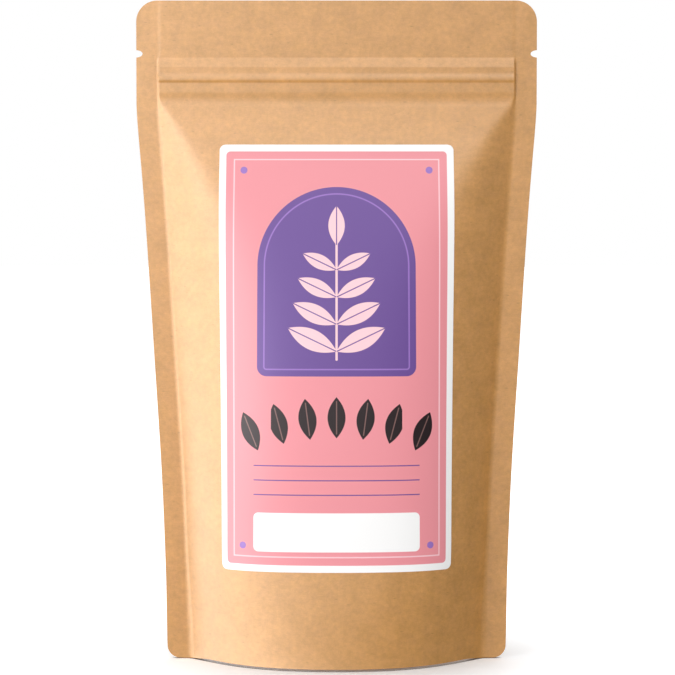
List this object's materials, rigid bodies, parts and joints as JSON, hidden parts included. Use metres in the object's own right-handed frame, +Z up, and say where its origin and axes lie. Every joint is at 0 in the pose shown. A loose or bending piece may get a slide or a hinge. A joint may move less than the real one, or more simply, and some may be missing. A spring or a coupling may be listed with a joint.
{
  "type": "stand-up pouch filled with beans",
  "caption": "Kraft-paper stand-up pouch with a press-to-close zip, tear notches, a bottom gusset and a plain front label, filled with whole dark beans.",
  "frame": {"origin": "on the floor, under the middle of the pouch", "axes": "+Z up, +X to the viewer's right when facing the label, and the label faces -Y"},
  "size_m": [0.129, 0.0578, 0.213],
  "materials": {
    "kraft": "matte brown kraft laminate",
    "zip_plastic": "milky polyethylene",
    "label_paper": "satin coated paper, pink with a white border",
    "bean_skin": "dark wrinkled skin with a dull sheen"
  },
  "bodies": {
    "root": {"front_panel": "kraft", "back_panel": "kraft", "bottom_gusset": "kraft", "zip_rib_strip": "zip_plastic", "zip_jaw_strip": "zip_plastic", "front_label": "label_paper", "beans": "bean_skin"}
  },
  "joints": []
}
